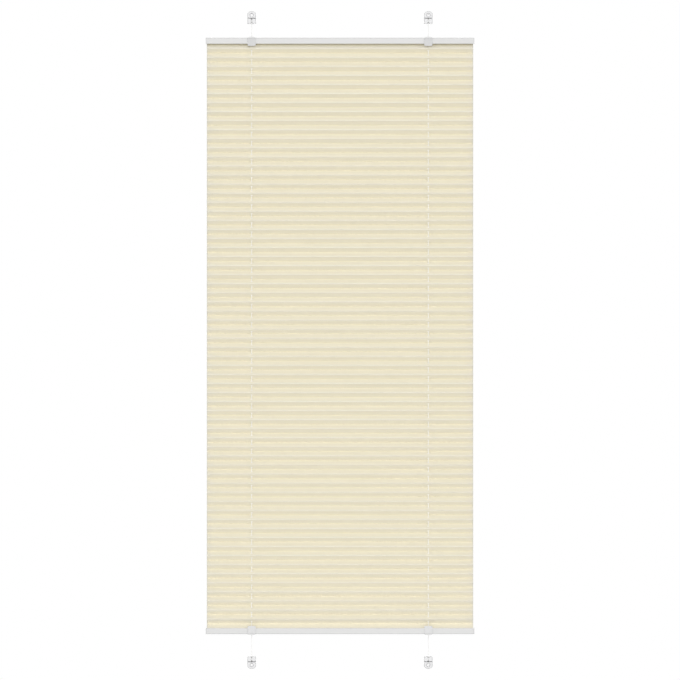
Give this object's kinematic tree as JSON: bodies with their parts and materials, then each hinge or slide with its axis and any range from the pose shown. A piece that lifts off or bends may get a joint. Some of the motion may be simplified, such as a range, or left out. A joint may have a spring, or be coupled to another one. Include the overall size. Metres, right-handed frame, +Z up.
{
  "type": "pleated blind",
  "caption": "Pleated window blind with a top and a bottom rail that slide on two taut cords held between four small holders.",
  "frame": {"origin": "centre of the rectangle of the four holders' screw holes, on the plane of the holders' backs", "axes": "+Z up along the cords, +X along the rails, +Y from the room towards the window"},
  "size_m": [0.45, 0.0259, 1.1022],
  "materials": {
    "pleated_cloth": "woven polyester, matt with a faint sheen",
    "rail_coating": "white powder coat, satin",
    "cap_plastic": "white moulded, satin",
    "guide_plastic": "white moulded, satin",
    "holder_plastic": "pale grey-white moulded, satin",
    "lock_plastic": "white moulded",
    "strip_plastic": "extruded, plain",
    "cord_braid": "fine round braid",
    "spring_steel": "bright wire"
  },
  "bodies": {
    "fixed_parts": {"pleated_fabric": "pleated_cloth", "top_left_holder": "holder_plastic", "top_left_cord_carrier": "holder_plastic", "top_left_cord_lock": "lock_plastic", "top_right_holder": "holder_plastic", "top_right_cord_carrier": "holder_plastic", "top_right_cord_lock": "lock_plastic", "bottom_left_holder": "holder_plastic", "bottom_left_cord_carrier": "holder_plastic", "bottom_left_cord_lock": "lock_plastic", "bottom_right_holder": "holder_plastic", "bottom_right_cord_carrier": "holder_plastic", "bottom_right_cord_lock": "lock_plastic", "left_tension_cord": "cord_braid", "right_tension_cord": "cord_braid"},
    "upper_carriage": {"top_rail": "rail_coating", "top_insert_strip": "strip_plastic", "top_left_end_cap": "cap_plastic", "top_left_cord_guide": "guide_plastic", "top_left_crossing_cord": "cord_braid", "top_right_end_cap": "cap_plastic", "top_right_cord_guide": "guide_plastic", "top_right_crossing_cord": "cord_braid", "left_tension_spring": "spring_steel", "right_tension_spring": "spring_steel"},
    "lower_carriage": {"bottom_rail": "rail_coating", "bottom_insert_strip": "strip_plastic", "bottom_left_end_cap": "cap_plastic", "bottom_left_cord_guide": "guide_plastic", "bottom_left_crossing_cord": "cord_braid", "bottom_right_end_cap": "cap_plastic", "bottom_right_cord_guide": "guide_plastic", "bottom_right_crossing_cord": "cord_braid"}
  },
  "joints": [
    {"name": "top_rail_slide", "type": "slide", "parent": "fixed_parts", "child": "upper_carriage", "axis": [0, 0, -1], "range_m": [0, 0.456], "deforming": ["pleated_fabric"]},
    {"name": "bottom_rail_slide", "type": "slide", "parent": "fixed_parts", "child": "lower_carriage", "axis": [0, 0, 1], "range_m": [0, 0.463], "deforming": ["pleated_fabric"]}
  ]
}
